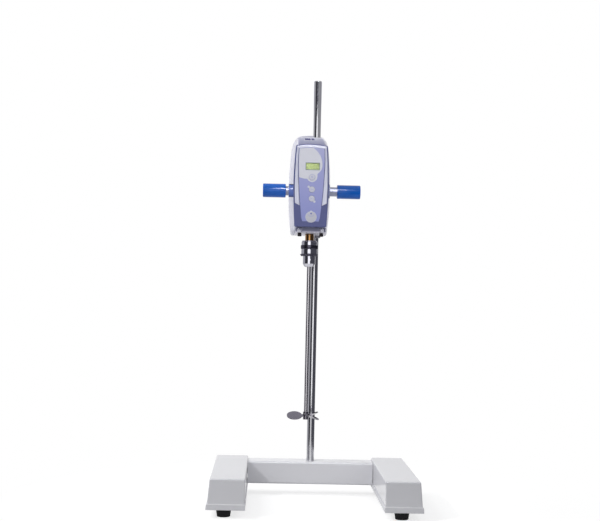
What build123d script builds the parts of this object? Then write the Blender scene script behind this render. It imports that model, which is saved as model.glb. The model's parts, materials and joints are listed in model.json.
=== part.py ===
from build123d import *
import math
import os

os.makedirs("parts", exist_ok=True)

# Frame: millimetres, +Z up, front is -Y, origin under the centre of the base on the bench.

# Base
LEG_LEN = 320.0
LEG_BOTTOM = 15.0
LEG_TOP = 72.8
LIP_TOP = 26.0
LIP_PROUD = 1.6
LIP_CHAMFER = 1.2
LEG_OUT_TOP = 197.0
LEG_OUT_BOTTOM = 202.0
LEG_IN_TOP = 130.5
LEG_IN_BOTTOM = 131.5
LEG_WALL = 4.0
LEFT_FOOT_X = -170.3
RIGHT_FOOT_X = 164.2
FOOT_Y = 138.0
FOOT_R_TOP = 14.5
FOOT_R_BOTTOM = 12.5
BAR_X = 130.2
BAR_Y0 = 107.0
BAR_Y1 = 157.0
BAR_Z0 = 22.0
BAR_Z1 = 68.5
BAR_WALL = 4.0
BAR_BEND = 4.0
END_BLOCK = 8.2

# Support rod
ROD_X = 0.0
ROD_Y = 132.0
ROD_R = 8.0
ROD_Z0 = 34.0
ROD_Z1 = 870.0
BOLT_SEAT = 29.0

# Head
HX = -14.0
CX = -15.5
SPINDLE_X = HX
SPINDLE_Y = 52.0
COVER_Y0 = -28.0
COVER_Y1 = -8.0
SPLIT_Y = 122.0
REAR_Y = 160.0
FLANGE_Z0 = 541.0
FLANGE_Z1 = 553.0
TOP_SLOPE = 0.25
TOP_Z_AT_COVER = 715.0
HOUSING_INSET = 3.4
WALL = 3.0
RUN = 0.05

# Clamp block, bushes and clamp knobs
BLOCK_X0 = -20.0
BLOCK_X1 = 18.8
BLOCK_FRONT_X1 = 11.0
BLOCK_Y0 = 110.0
BLOCK_Y1 = 148.0
BLOCK_Z1 = 716.0
BUSH_R = 12.0
BUSH_LEN = 32.0
KNOB_Z = 635.5
COLLAR_R = 14.5
COLLAR_X = {-1: (-47.2, -57.5), 1: (19.2, 29.5)}
STUB_R = 9.75
STUD_R = 5.0
PAD_R = 6.0
PAD_GAP = 0.3
PAD_LEN = 6.0
GRIP_R = 14.5
LEFT_GRIP = (-112.0, -63.6)
RIGHT_GRIP = (44.7, 94.1)

# Drive
MODULE = 1.25
GEAR_TEETH = 32
PINION_TEETH = 16
MOTOR_Y = SPINDLE_Y + MODULE * (GEAR_TEETH + PINION_TEETH) / 2 + 0.05
MOTOR_R = 22.0
GEAR_Z0 = 580.0
GEAR_Z1 = 590.0
PLATE_Z0 = 596.0
PLATE_Z1 = 604.0
SPINDLE_R = 6.0
BEARING_R = 14.0

# Chuck and shaft
CHUCK_TOP = 527.3
CHUCK_BOTTOM = 474.2
CORE_R = 14.7
NOSE_R = 12.8
SLEEVE_Z0 = 495.6
SLEEVE_Z1 = 518.1
JAW_R = 2.8
JAW_ANGLE = 10.0
JAW_FOOT_R = 5.3
SHAFT_R = 4.0
SHAFT_Z0 = 163.0
SHAFT_Z1 = 512.0
BLADE_R = 15.5
BLADE_CENTRE = 23.0
BLADE_T = 2.0
BLADE_PITCH = -24.0
BLADE_Z = 170.5

# Control panel, as offsets from the head's centre line
LCD = (2.3, 671.7, 26.9, 13.1)
KEYS = {
    "mode_key": (1.4, 650.4, 6.5),
    "up_key": (1.7, 625.8, 5.7),
    "down_key": (1.7, 607.5, 5.7),
    "start_key": (0.9, 571.2, 10.6),
}
FACE_WALL = 3.0
BOARD_Y0 = -14.0
BOARD_Y1 = -12.4


def box(x0, x1, y0, y1, z0, z1):
    return Pos((x0 + x1) / 2, (y0 + y1) / 2, (z0 + z1) / 2) * Box(x1 - x0, y1 - y0, z1 - z0)


def cyl_x(y, z, r, x0, x1):
    return Pos((x0 + x1) / 2, y, z) * Rot(0, 90, 0) * Cylinder(r, abs(x1 - x0))


def cyl_y(x, z, r, y0, y1):
    return Pos(x, (y0 + y1) / 2, z) * Rot(90, 0, 0) * Cylinder(r, abs(y1 - y0))


def cyl_z(x, y, r, z0, z1):
    return Pos(x, y, (z0 + z1) / 2) * Cylinder(r, z1 - z0)


def prism_x(points, x0, x1):
    plane = Plane(origin=(x0, 0, 0), x_dir=(0, 1, 0), z_dir=(1, 0, 0))
    return extrude(plane * make_face(Polyline(*points, close=True)), amount=x1 - x0)


def prism_y(edges, y0, y1):
    plane = Plane(origin=(0, y1, 0), x_dir=(1, 0, 0), z_dir=(0, -1, 0))
    return extrude(plane * make_face(edges), amount=y1 - y0)


def prism_y_points(points, y0, y1):
    return prism_y(Polyline(*points, close=True), y0, y1)


def prism_z(points, z0, z1):
    return extrude(Pos(0, 0, z0) * make_face(Polyline(*points, close=True)), amount=z1 - z0)


def turned(profile, x, y):
    face = Plane.XZ * make_face(Polyline(*profile, close=True))
    return Pos(x, y, 0) * revolve(face, axis=Axis.Z)


def fillet_where(part, radius, test):
    edges = [e for e in part.edges() if test(e)]
    return fillet(edges, radius)


def one(part):
    solids = part.solids()
    return solids[0] if len(solids) == 1 else part


def save(name, part):
    export_step(part, f"parts/{name}.step")


# ---------------------------------------------------------------- base


def leg_x(side_top, side_bottom, z):
    t = (z - LEG_BOTTOM) / (LEG_TOP - LEG_BOTTOM)
    return side_bottom + (side_top - side_bottom) * t


def leg_section(z0, z1, grow):
    return [
        (-leg_x(LEG_OUT_TOP, LEG_OUT_BOTTOM, z0) - grow, z0),
        (-leg_x(LEG_IN_TOP, LEG_IN_BOTTOM, z0) + grow, z0),
        (-leg_x(LEG_IN_TOP, LEG_IN_BOTTOM, z1) + grow, z1),
        (-leg_x(LEG_OUT_TOP, LEG_OUT_BOTTOM, z1) - grow, z1),
    ]


def make_leg():
    half = LEG_LEN / 2
    outer = prism_y_points(leg_section(LIP_TOP, LEG_TOP, 0), -half, half)
    outer = fillet_where(outer, 2.5, lambda e: e.center().Z > LIP_TOP + 1)
    inner = prism_y_points(
        leg_section(LIP_TOP, LEG_TOP - LEG_WALL, -LEG_WALL), -half + LEG_WALL, half - LEG_WALL
    )
    leg = outer - inner
    for y in (120.0, 144.0):
        leg -= cyl_x(y, 45.0, 4.3, -140, -128)
    return one(leg)


def make_tray(foot_x):
    half = LEG_LEN / 2 + LIP_PROUD
    tray = prism_y_points(leg_section(LEG_BOTTOM, LIP_TOP, LIP_PROUD), -half, half)
    tray = fillet_where(tray, 1.0, lambda e: e.center().Z < LEG_BOTTOM + 0.5)
    tray = chamfer([e for e in tray.edges() if e.center().Z > LIP_TOP - 0.1], LIP_CHAMFER)
    for y0, y1 in ((-156.0, -76.0), (-72.0, 2.0), (6.0, 80.0), (84.0, 156.0)):
        tray -= prism_y_points(leg_section(LEG_BOTTOM + 4, LIP_TOP + 1, -LEG_WALL), y0, y1)
    tray -= box(-BAR_X, -BAR_X + 5, BAR_Y0 - 0.5, BAR_Y1 + 0.5, BAR_Z0 - 0.5, LIP_TOP + 1)
    for y in (-FOOT_Y, FOOT_Y):
        tray -= cyl_z(foot_x, y, 2.3, LEG_BOTTOM - 1, LEG_BOTTOM + 6)
    return one(tray)


def make_foot(x, y):
    profile = [
        (5.5, 0.0),
        (FOOT_R_BOTTOM - 1, 0.0),
        (FOOT_R_BOTTOM, 1.0),
        (FOOT_R_TOP, LEG_BOTTOM),
        (2.3, LEG_BOTTOM),
        (2.3, 6.0),
        (5.5, 6.0),
    ]
    return turned(profile, x, y)


def make_foot_screws():
    screws = []
    for x in (LEFT_FOOT_X, RIGHT_FOOT_X):
        for y in (-FOOT_Y, FOOT_Y):
            screws.append(
                turned([(0, 2.8), (4.5, 2.8), (4.5, 6.0), (2.2, 6.0), (2.2, 24.0), (0, 24.0)], x, y)
            )
    return Compound(screws)


def make_crossbar():
    bar = box(-BAR_X, BAR_X, BAR_Y0, BAR_Y1, BAR_Z0, BAR_Z1)
    bar = fillet(bar.edges().filter_by(Axis.X), BAR_BEND)
    inside = BAR_X - END_BLOCK
    bar -= box(
        -inside, inside, BAR_Y0 + BAR_WALL, BAR_Y1 - BAR_WALL, BAR_Z0 + BAR_WALL, BAR_Z1 - BAR_WALL
    )
    bar -= cyl_z(ROD_X, ROD_Y, ROD_R + 0.05, BAR_Z1 - 6, BAR_Z1 + 1)
    bar -= cyl_z(ROD_X, ROD_Y, 7.5, BAR_Z0 - 1, BAR_Z0 + 6)
    for side in (-1, 1):
        for y in (120.0, 144.0):
            bar -= cyl_x(y, 45.0, 4.0, side * (BAR_X - 10), side * (BAR_X + 1))
    return one(bar)


def make_crossbar_bolts():
    bolts = []
    for side in (-1, 1):
        for y in (120.0, 144.0):
            head = cyl_x(y, 45.0, 6.5, side * 135.3, side * 143.3)
            head -= cyl_x(y, 45.0, 3.2, side * 139.3, side * 144.3)
            bolts.append(one(head + cyl_x(y, 45.0, 3.95, side * 123.0, side * 135.3)))
    return Compound(bolts)


def make_rod_socket():
    z0 = BAR_Z0 + BAR_WALL
    z1 = BAR_Z1 - BAR_WALL
    r = ROD_R + 0.05
    profile = [
        (7.5, z0),
        (20.0, z0),
        (20.0, z0 + 6),
        (15.0, z0 + 9),
        (15.0, z1),
        (r, z1),
        (r, ROD_Z0),
        (4.3, ROD_Z0),
        (4.3, BOLT_SEAT),
        (7.5, BOLT_SEAT),
    ]
    return turned(profile, ROD_X, ROD_Y)


def make_rod():
    profile = [
        (4.05, ROD_Z0),
        (ROD_R, ROD_Z0),
        (ROD_R, ROD_Z1 - 2.0),
        (ROD_R - 0.6, ROD_Z1 - 0.8),
        (ROD_R - 2.0, ROD_Z1),
        (0, ROD_Z1),
        (0, ROD_Z0 + 26),
        (4.05, ROD_Z0 + 24),
    ]
    return turned(profile, ROD_X, ROD_Y)


def make_rod_bolt():
    profile = [
        (0, BAR_Z0 + 0.5),
        (6.0, BAR_Z0 + 0.5),
        (6.5, BAR_Z0 + 1.0),
        (6.5, BOLT_SEAT),
        (4.0, BOLT_SEAT),
        (4.0, ROD_Z0 + 20),
        (0, ROD_Z0 + 20),
    ]
    return turned(profile, ROD_X, ROD_Y)


# ---------------------------------------------------------------- head shells


def top_z(y):
    return TOP_Z_AT_COVER + (y - COVER_Y1) * TOP_SLOPE


def mirrored(points):
    return [(HX + u, z) for u, z in points]


def cover_outline(inset):
    side = [(31.7, 551.5), (33.5, 585.0), (35.0, 635.0), (33.6, 684.0), (31.5, 713.0)]
    side = [(u - inset, z) for u, z in side]
    side[0] = (side[0][0], side[0][1] + inset)
    side[-1] = (side[-1][0], side[-1][1] - inset)
    right = [(CX + u, z) for u, z in side]
    left = [(CX - u, z) for u, z in side]
    apex = (CX, side[-1][1] + 3.6)
    return [
        Spline(*right),
        Line(right[0], left[0]),
        Spline(*left),
        ThreePointArc(right[-1], apex, left[-1]),
    ]


def panel_outline(grow):
    side = [(16.2, 562.4), (18.3, 569.0), (22.2, 608.0), (24.9, 650.0), (25.8, 680.0), (25.0, 707.0)]
    side = [(u + grow, z) for u, z in side]
    side[0] = (side[0][0], side[0][1] - grow)
    side[-1] = (side[-1][0], side[-1][1] + grow)
    right = [(CX + u, z) for u, z in side]
    left = [(CX - u, z) for u, z in side]
    return [
        Line(right[0], right[1]),
        Spline(*right[1:]),
        ThreePointArc(right[-1], (CX, side[-1][1] + 2.4), left[-1]),
        Spline(*left[1:]),
        Line(left[1], left[0]),
        Line(left[0], right[0]),
    ]


def panel_holes(y0, y1, gap):
    u, z, w, h = LCD
    cut = box(CX + u - w / 2, CX + u + w / 2, y0, y1, z - h / 2, z + h / 2)
    for ku, kz, r in KEYS.values():
        cut += cyl_y(CX + ku, kz, r + gap, y0, y1)
    return cut


def make_front_cover():
    cover = prism_y(cover_outline(0), COVER_Y0, COVER_Y1)
    cover = fillet_where(cover, 2.5, lambda e: abs(e.tangent_at(0.5).Y) > 0.9)
    cover = fillet_where(cover, 1.2, lambda e: e.center().Y < COVER_Y0 + 0.1)
    cavity = prism_y(cover_outline(WALL), COVER_Y0 + FACE_WALL + 1, COVER_Y1 + 1)
    cover -= cavity
    cover -= prism_y(panel_outline(0.15), COVER_Y0 - 1, COVER_Y0 + 1.0)
    cover -= trim_shape(0.12, COVER_Y0 - 1, COVER_Y0 + 0.8)
    cover -= panel_holes(COVER_Y0 - 2, COVER_Y0 + FACE_WALL + 3, 0.35)
    for u in (-24.0, 24.0):
        for z in (640.0, 692.0):
            cover += cyl_y(CX + u, z, 2.6, COVER_Y0 + FACE_WALL, BOARD_Y0)
    return one(cover)


def trim_shape(grow, y0, y1):
    outer = prism_y(cover_outline(2.3 - grow), y0, y1)
    inner = prism_y(panel_outline(0.9 - grow), y0 - 1, y1 + 1)
    band = outer - inner
    cut = [(-60, 540), (60, 540), (60, 594 - grow), (22, 594 - grow), (16, 590), (-16, 590)]
    cut += [(-22, 593 - grow), (-27, 597 - grow), (-60, 598 - grow)]
    return band - prism_y_points(mirrored(cut), y0 - 1, y1 + 1)


def make_silver_trim():
    trim = trim_shape(0, COVER_Y0 - 0.4, COVER_Y0 + 0.7)
    return one(trim)


def make_keypad_panel():
    panel = prism_y(panel_outline(0), COVER_Y0 - 0.1, COVER_Y0 + 0.9)
    return one(panel - panel_holes(COVER_Y0 - 1, COVER_Y0 + 2, 0.35))


def make_key(u, z, r):
    x = CX + u
    key = cyl_y(x, z, r, COVER_Y0 - 0.5, COVER_Y0 + FACE_WALL + 1.4)
    key = fillet_where(key, 0.4, lambda e: e.center().Y < COVER_Y0)
    key += cyl_y(x, z, r + 1.6, COVER_Y0 + FACE_WALL + 1.4, COVER_Y0 + FACE_WALL + 2.6)
    key += cyl_y(x, z, 2.0, COVER_Y0 + FACE_WALL + 2.6, BOARD_Y0 - 1.4)
    return one(key)


def make_lcd_window():
    u, z, w, h = LCD
    x = CX + u
    half_w = w / 2 - 0.1
    half_h = h / 2 - 0.1
    return box(x - half_w, x + half_w, COVER_Y0, COVER_Y0 + 1.5, z - half_h, z + half_h)


def make_lcd_module():
    u, z, w, h = LCD
    x = CX + u
    half_w = w / 2
    half_h = h / 2
    body = box(x - half_w - 2.5, x + half_w + 2.5, COVER_Y0 + 5, BOARD_Y0, z - half_h - 3, z + half_h + 3)
    half_w -= 0.5
    half_h -= 0.5
    glass = box(x - half_w, x + half_w, COVER_Y0 + 1.7, COVER_Y0 + 5, z - half_h, z + half_h)
    return one(body + glass)


def make_circuit_board():
    board = prism_y_points(
        mirrored([(-24, 562), (24, 562), (28, 600), (28, 700), (-28, 700), (-28, 600)]), BOARD_Y0, BOARD_Y1
    )
    for u, z, _ in KEYS.values():
        board += box(CX + u - 3, CX + u + 3, BOARD_Y0 - 0.6, BOARD_Y0 + 0.2, z - 3, z + 3)
    board += box(CX - 16, CX + 10, BOARD_Y1 - 0.2, BOARD_Y1 + 3, 600, 622)
    board += box(CX - 22, CX + 4, BOARD_Y1 - 0.2, BOARD_Y1 + 8, 574, 590)
    return one(board)


def make_front_housing():
    outer = prism_y(housing_edges(HOUSING_INSET), COVER_Y1, SPLIT_Y)
    outer &= under_slope(COVER_Y1 - 1, SPLIT_Y + 1, FLANGE_Z1, 0)
    outer = fillet_where(outer, 5.0, lambda e: is_top_side_edge(e))
    inner = prism_y(housing_edges(HOUSING_INSET + WALL), COVER_Y1 - 1, SPLIT_Y + 1)
    inner &= under_slope(COVER_Y1 - 2, SPLIT_Y + 2, FLANGE_Z1 - 1, -WALL)
    inner = fillet_where(inner, 3.5, lambda e: is_top_side_edge(e))
    shell = outer - inner
    for x0 in (-29.0, -17.0):
        for i in range(5):
            y = 70.0 + 6.5 * i
            shell -= box(x0, x0 + 9.6, y, y + 3.6, 720, 760)
    return one(shell)


def under_slope(y0, y1, z0, lift):
    points = [(y0, z0), (y1, z0), (y1, top_z(y1) + lift), (y0, top_z(y0) + lift)]
    return prism_x(points, -80, 60)


def housing_edges(inset):
    side = [(32.5, 551.0), (34.7, 585.0), (36.0, 635.0), (34.8, 684.0), (32.8, 713.0), (31.5, 770.0)]
    right = [(HX + u - inset, z) for u, z in side]
    left = [(HX - u + inset, z) for u, z in side]
    return [Spline(*right), Line(right[0], left[0]), Spline(*left), Line(right[-1], left[-1])]


def is_top_side_edge(edge):
    c = edge.center()
    return c.Z > 712 and abs(c.X - HX) > 20 and edge.length > 60


def rear_edges(inset):
    side = [(37.4, 541.5), (39.6, 560.0), (42.2, 588.0), (43.1, 620.0), (43.2, 650.0), (42.4, 680.0)]
    side += [(40.8, 700.0), (39.6, 716.0), (37.6, 728.0), (34.0, 738.5), (27.0, 747.5), (13.0, 754.0)]
    side = [(u * (1 - inset / 43.0), z + (inset if z < 545 else 0)) for u, z in side]
    top = 756.0
    right = [(HX + u, z - (inset if z > 730 else 0)) for u, z in side]
    left = [(2 * HX - x, z) for x, z in right]
    return [
        Line(right[0], left[0]),
        Spline(*right, (HX, top - inset), *reversed(left)),
    ]


def make_rear_cover():
    outer = prism_y(rear_edges(0), SPLIT_Y, REAR_Y)
    outer = fillet_where(outer, 4.0, lambda e: abs(e.tangent_at(0.5).Y) > 0.9 and e.center().Z < 545)
    outer = fillet_where(outer, 5.0, lambda e: e.center().Y > REAR_Y - 0.1)
    outer &= under_slope(SPLIT_Y - 1, REAR_Y + 1, 540.0, 1.0)
    inner = prism_y(rear_edges(WALL), SPLIT_Y + WALL, REAR_Y - WALL)
    inner &= under_slope(SPLIT_Y - 1, REAR_Y + 1, 544.5, -2.0)
    shell = outer - inner
    mouth = prism_y(housing_edges(HOUSING_INSET + WALL), SPLIT_Y - 1, SPLIT_Y + WALL + 1)
    mouth &= box(-80, 60, SPLIT_Y - 2, SPLIT_Y + WALL + 2, 553, top_z(SPLIT_Y) - WALL)
    shell -= mouth
    shell -= cyl_z(ROD_X, ROD_Y, ROD_R + 1.0, 535, 765)
    for side in (-1, 1):
        x0, x1 = sorted((HX + side * 29, HX + side * 48))
        gap = COLLAR_R + 0.3
        shell -= cyl_x(ROD_Y, KNOB_Z, gap, x0, x1)
        shell -= box(x0, x1, SPLIT_Y - 1, ROD_Y, KNOB_Z - gap, KNOB_Z + gap)
    for x in (-15.0, 13.5):
        for z in (598.0, 668.0):
            shell += cyl_y(x, z, 4.0, BLOCK_Y1, REAR_Y - WALL + 0.5)
            shell -= cyl_y(x, z, 1.7, BLOCK_Y1 - 1, REAR_Y + 1)
    for i in range(6):
        z = 690.0 + 7.5 * i
        shell -= box(-36, 8, REAR_Y - 5, REAR_Y + 1, z, z + 3.2)
    shell -= box(-48.2, -20.8, REAR_Y - 5, REAR_Y + 1, 557.8, 578.2)
    shell -= box(4.8, 18.2, REAR_Y - 5, REAR_Y + 1, 557.8, 578.2)
    return one(shell)


def make_cover_screws():
    screws = []
    for x in (-15.0, 13.5):
        for z in (598.0, 668.0):
            screw = cyl_y(x, z, 3.2, REAR_Y, REAR_Y + 2) + cyl_y(x, z, 1.55, 140, REAR_Y)
            screws.append(one(screw))
    return Compound(screws)


# ---------------------------------------------------------------- frame inside the head


def make_flange_plate():
    hw = 30.4
    plate = box(HX - hw, HX + hw, COVER_Y1 + 2, SPLIT_Y - 0.3, FLANGE_Z0, FLANGE_Z1)
    front = [e for e in plate.edges().filter_by(Axis.Z) if e.center().Y < 0]
    plate = fillet(front, 9.0)
    bottom = [e for e in plate.edges() if e.center().Z < FLANGE_Z0 + 0.1]
    plate = fillet(bottom, 1.5)
    for u in (-21.75, 21.75):
        plate += cyl_z(HX + u, COVER_Y1 + 2.4, 4.6, FLANGE_Z0 + 0.6, FLANGE_Z0 + 5)
        plate += Pos(HX + u, COVER_Y1 + 2.4, FLANGE_Z0 + 5) * Sphere(4.6)
    plate -= cyl_z(SPINDLE_X, SPINDLE_Y, BEARING_R + 0.01, 543.5, FLANGE_Z1 + 1)
    plate -= cyl_z(SPINDLE_X, SPINDLE_Y, 9.5, FLANGE_Z0 - 1, 544)
    for u in (-21.75, 21.75):
        plate -= cyl_z(HX + u, 5.0, 2.55, FLANGE_Z0 - 1, FLANGE_Z1 + 1)
    for x in (-13.0, 6.5):
        plate -= cyl_z(x, 115.5, 2.55, FLANGE_Z0 - 1, FLANGE_Z1 + 1)
    return one(plate)


def make_flange_screws():
    screws = []
    for u in (-21.75, 21.75):
        head = cyl_z(HX + u, 5.0, 3.9, FLANGE_Z0 - 7.2, FLANGE_Z0)
        head -= cyl_z(HX + u, 5.0, 2.0, FLANGE_Z0 - 8, FLANGE_Z0 - 4)
        screws.append(one(head + cyl_z(HX + u, 5.0, 2.5, FLANGE_Z0, 562.0)))
    for x in (-13.0, 6.5):
        head = cyl_z(x, 115.5, 4.2, FLANGE_Z0 - 5, FLANGE_Z0)
        head -= cyl_z(x, 115.5, 2.0, FLANGE_Z0 - 6, FLANGE_Z0 - 2.5)
        screws.append(one(head + cyl_z(x, 115.5, 2.5, FLANGE_Z0, 566.0)))
    return Compound(screws)


def make_gear_plate():
    plate = box(HX - 27, HX + 27, 12, 106, PLATE_Z0, PLATE_Z1)
    plate = fillet(plate.edges().filter_by(Axis.Z), 6)
    plate -= cyl_z(SPINDLE_X, SPINDLE_Y, BEARING_R + 0.01, PLATE_Z0 - 1, PLATE_Z1 + 1)
    plate -= cyl_z(SPINDLE_X, MOTOR_Y, 5.0, PLATE_Z0 - 1, PLATE_Z1 + 1)
    return one(plate)


def make_pillars():
    pillars = []
    for u in (-21.0, 21.0):
        for y in (20.0, 98.0):
            pillars.append(cyl_z(HX + u, y, 4.0, FLANGE_Z1, PLATE_Z0))
    return Compound(pillars)


def make_clamp_block():
    block = box(BLOCK_X0, BLOCK_X1, BLOCK_Y0, BLOCK_Y1, FLANGE_Z1, BLOCK_Z1)
    block = fillet(block.edges().filter_by(Axis.Z), 2.0)
    block -= box(BLOCK_FRONT_X1, BLOCK_X1 + 1, BLOCK_Y0 - 1, 125.5, FLANGE_Z1 - 1, BLOCK_Z1 + 1)
    z_low = FLANGE_Z1 + BUSH_LEN
    z_high = BLOCK_Z1 - BUSH_LEN
    block -= cyl_z(ROD_X, ROD_Y, ROD_R + 1.0, FLANGE_Z1 - 1, BLOCK_Z1 + 1)
    block -= cyl_z(ROD_X, ROD_Y, BUSH_R + RUN, FLANGE_Z1 - 1, z_low)
    block -= cyl_z(ROD_X, ROD_Y, BUSH_R + RUN, z_high, BLOCK_Z1 + 1)
    block -= cyl_x(ROD_Y, KNOB_Z, PAD_R + RUN, BLOCK_X0 - 1, BLOCK_X1 + 1)
    for z0, z1 in ((590.0, 618.0), (652.0, 680.0)):
        block -= box(BLOCK_X0 + 6, BLOCK_FRONT_X1 - 4, BLOCK_Y0 - 1, BLOCK_Y0 + 8, z0, z1)
    for x in (-15.0, 13.5):
        for z in (598.0, 668.0):
            block -= cyl_y(x, z, 1.6, 138, BLOCK_Y1 + 1)
    for x in (-13.0, 6.5):
        block -= cyl_z(x, 115.5, 2.55, FLANGE_Z1 - 1, 568)
    return one(block)


def make_bush(z0, z1):
    r = ROD_R + RUN
    return turned([(r, z0), (BUSH_R, z0), (BUSH_R, z1), (r, z1)], ROD_X, ROD_Y)


def make_collar(side):
    x_in, x_out = COLLAR_X[side]
    x_block = BLOCK_X0 if side < 0 else BLOCK_X1
    collar = cyl_x(ROD_Y, KNOB_Z, COLLAR_R, x_in, x_out)
    collar = fillet_where(collar, 0.8, lambda e: abs(e.center().X - x_out) < 0.1)
    collar += cyl_x(ROD_Y, KNOB_Z, 9.0, x_block, x_in)
    collar -= cyl_x(ROD_Y, KNOB_Z, STUB_R + 0.3, x_out - side * 8.0, x_out + side)
    collar -= cyl_x(ROD_Y, KNOB_Z, STUD_R + RUN, x_block - side, x_out)
    return one(collar)


def make_pad(side):
    x0 = side * (ROD_R + PAD_GAP)
    x1 = side * (ROD_R + PAD_GAP + PAD_LEN)
    return one(cyl_x(ROD_Y, KNOB_Z, PAD_R, x0, x1))


def make_stud(side):
    grip = LEFT_GRIP[1] if side < 0 else RIGHT_GRIP[0]
    x_out = COLLAR_X[side][1]
    x_tip = side * (ROD_R + PAD_GAP + PAD_LEN + 0.05)
    stub = cyl_x(ROD_Y, KNOB_Z, STUB_R, x_out - side * 6.5, grip)
    stud = cyl_x(ROD_Y, KNOB_Z, STUD_R, x_tip, x_out - side * 6.5)
    tail = cyl_x(ROD_Y, KNOB_Z, 6.0, grip, grip + side * 30)
    return one(stub + stud + tail)


def make_grip(side):
    x0, x1 = LEFT_GRIP if side < 0 else RIGHT_GRIP
    inner = x1 if side < 0 else x0
    outer = x0 if side < 0 else x1
    grip = cyl_x(ROD_Y, KNOB_Z, GRIP_R, x0, x1)
    grip = fillet_where(grip, 1.0, lambda e: abs(e.center().X - inner) < 0.1)
    grip = fillet_where(grip, 1.6, lambda e: abs(e.center().X - outer) < 0.1)
    grip -= cyl_x(ROD_Y, KNOB_Z, 6.0, inner - side, inner + side * 30)
    return one(grip)


# ---------------------------------------------------------------- drive


def tooth_half_angle(radius, pitch_r, teeth, backlash):
    base_r = pitch_r * math.cos(math.radians(20))
    inv20 = math.tan(math.radians(20)) - math.radians(20)
    phi = math.acos(min(1.0, base_r / radius))
    return math.pi / (2 * teeth) - backlash / (2 * pitch_r) + inv20 - (math.tan(phi) - phi)


def gear_points(teeth, x, y, start_deg):
    pitch_r = MODULE * teeth / 2
    base_r = pitch_r * math.cos(math.radians(20))
    root_r = pitch_r - 1.15 * MODULE
    tip_r = pitch_r + 0.8 * MODULE
    low = max(base_r, root_r + 0.05)
    radii = [root_r] + [low + (tip_r - low) * i / 4 for i in range(5)]
    points = []
    for k in range(teeth):
        mid = math.radians(start_deg) + 2 * math.pi * k / teeth
        half = [tooth_half_angle(max(r, low), pitch_r, teeth, 0.16) for r in radii]
        flank = [(r, mid - h) for r, h in zip(radii, half)]
        flank += [(r, mid + h) for r, h in reversed(list(zip(radii, half)))]
        points += [(x + r * math.cos(a), y + r * math.sin(a)) for r, a in flank]
    return points


def make_drive_gear():
    gear = prism_z(gear_points(GEAR_TEETH, SPINDLE_X, SPINDLE_Y, 90), GEAR_Z0, GEAR_Z1)
    gear += cyl_z(SPINDLE_X, SPINDLE_Y, 10.0, GEAR_Z0, GEAR_Z1 + 3)
    gear -= cyl_z(SPINDLE_X, SPINDLE_Y, SPINDLE_R, GEAR_Z0 - 1, GEAR_Z1 + 4)
    for i in range(5):
        a = math.radians(72 * i)
        x = SPINDLE_X + 13.8 * math.cos(a)
        y = SPINDLE_Y + 13.8 * math.sin(a)
        gear -= cyl_z(x, y, 2.8, GEAR_Z0 - 1, GEAR_Z1 + 1)
    return one(gear)


def make_pinion():
    start = -90 + 180 / PINION_TEETH
    pinion = prism_z(gear_points(PINION_TEETH, SPINDLE_X, MOTOR_Y, start), GEAR_Z0 - 1, GEAR_Z1 + 1)
    return one(pinion - cyl_z(SPINDLE_X, MOTOR_Y, 3.0, GEAR_Z0 - 2, GEAR_Z1 + 2))


def make_motor_case():
    z0 = PLATE_Z1
    z1 = 692.0
    case = cyl_z(SPINDLE_X, MOTOR_Y, MOTOR_R, z0, z1)
    case = fillet_where(case, 2.0, lambda e: e.center().Z > z1 - 0.1)
    case += cyl_z(SPINDLE_X, MOTOR_Y, 8.0, z1 - 1, z1 + 4)
    case -= cyl_z(SPINDLE_X, MOTOR_Y, 16.5, z0 + 5, z1 - 5)
    case -= cyl_z(SPINDLE_X, MOTOR_Y, 3.0 + RUN, z0 - 1, z1 + 1)
    for i in range(8):
        a = math.radians(45 * i + 22.5)
        case -= cyl_z(SPINDLE_X + 19.3 * math.cos(a), MOTOR_Y + 19.3 * math.sin(a), 1.2, z0 + 8, z1 - 6)
    return one(case)


def make_motor_rotor():
    profile = [
        (0, GEAR_Z0 - 3),
        (3.0, GEAR_Z0 - 3),
        (3.0, 612.0),
        (15.5, 612.0),
        (15.5, 684.0),
        (3.0, 684.0),
        (3.0, 690.0),
        (0, 690.0),
    ]
    return turned(profile, SPINDLE_X, MOTOR_Y)


def make_bearing(z0):
    profile = [
        (SPINDLE_R + RUN, z0),
        (8.4, z0),
        (8.6, z0 + 0.5),
        (11.6, z0 + 0.5),
        (11.8, z0),
        (BEARING_R, z0),
        (BEARING_R, z0 + 8),
        (11.8, z0 + 8),
        (11.6, z0 + 7.5),
        (8.6, z0 + 7.5),
        (8.4, z0 + 8),
        (SPINDLE_R + RUN, z0 + 8),
    ]
    return turned(profile, SPINDLE_X, SPINDLE_Y)


def make_spindle():
    profile = [
        (0, 515.6),
        (SPINDLE_R, 515.6),
        (SPINDLE_R, 552.0),
        (8.0, 552.0),
        (8.0, GEAR_Z0),
        (SPINDLE_R, GEAR_Z0),
        (SPINDLE_R, 606.5),
        (SPINDLE_R - 0.8, 607.3),
        (0, 607.3),
    ]
    return turned(profile, SPINDLE_X, SPINDLE_Y)


def make_spindle_sleeve():
    z0 = CHUCK_TOP + 0.2
    z1 = FLANGE_Z0 - 0.3
    profile = [(SPINDLE_R, z0), (8.8, z0), (8.8, z1 - 0.6), (8.2, z1), (SPINDLE_R, z1)]
    return turned(profile, SPINDLE_X, SPINDLE_Y)


# ---------------------------------------------------------------- chuck, shaft and propeller


def jaw_frame(index):
    turn = Rot(0, 0, 90 + 120 * index)
    return Pos(SPINDLE_X, SPINDLE_Y, 0) * turn * Pos(JAW_FOOT_R, 0, CHUCK_BOTTOM) * Rot(0, JAW_ANGLE, 0)


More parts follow.
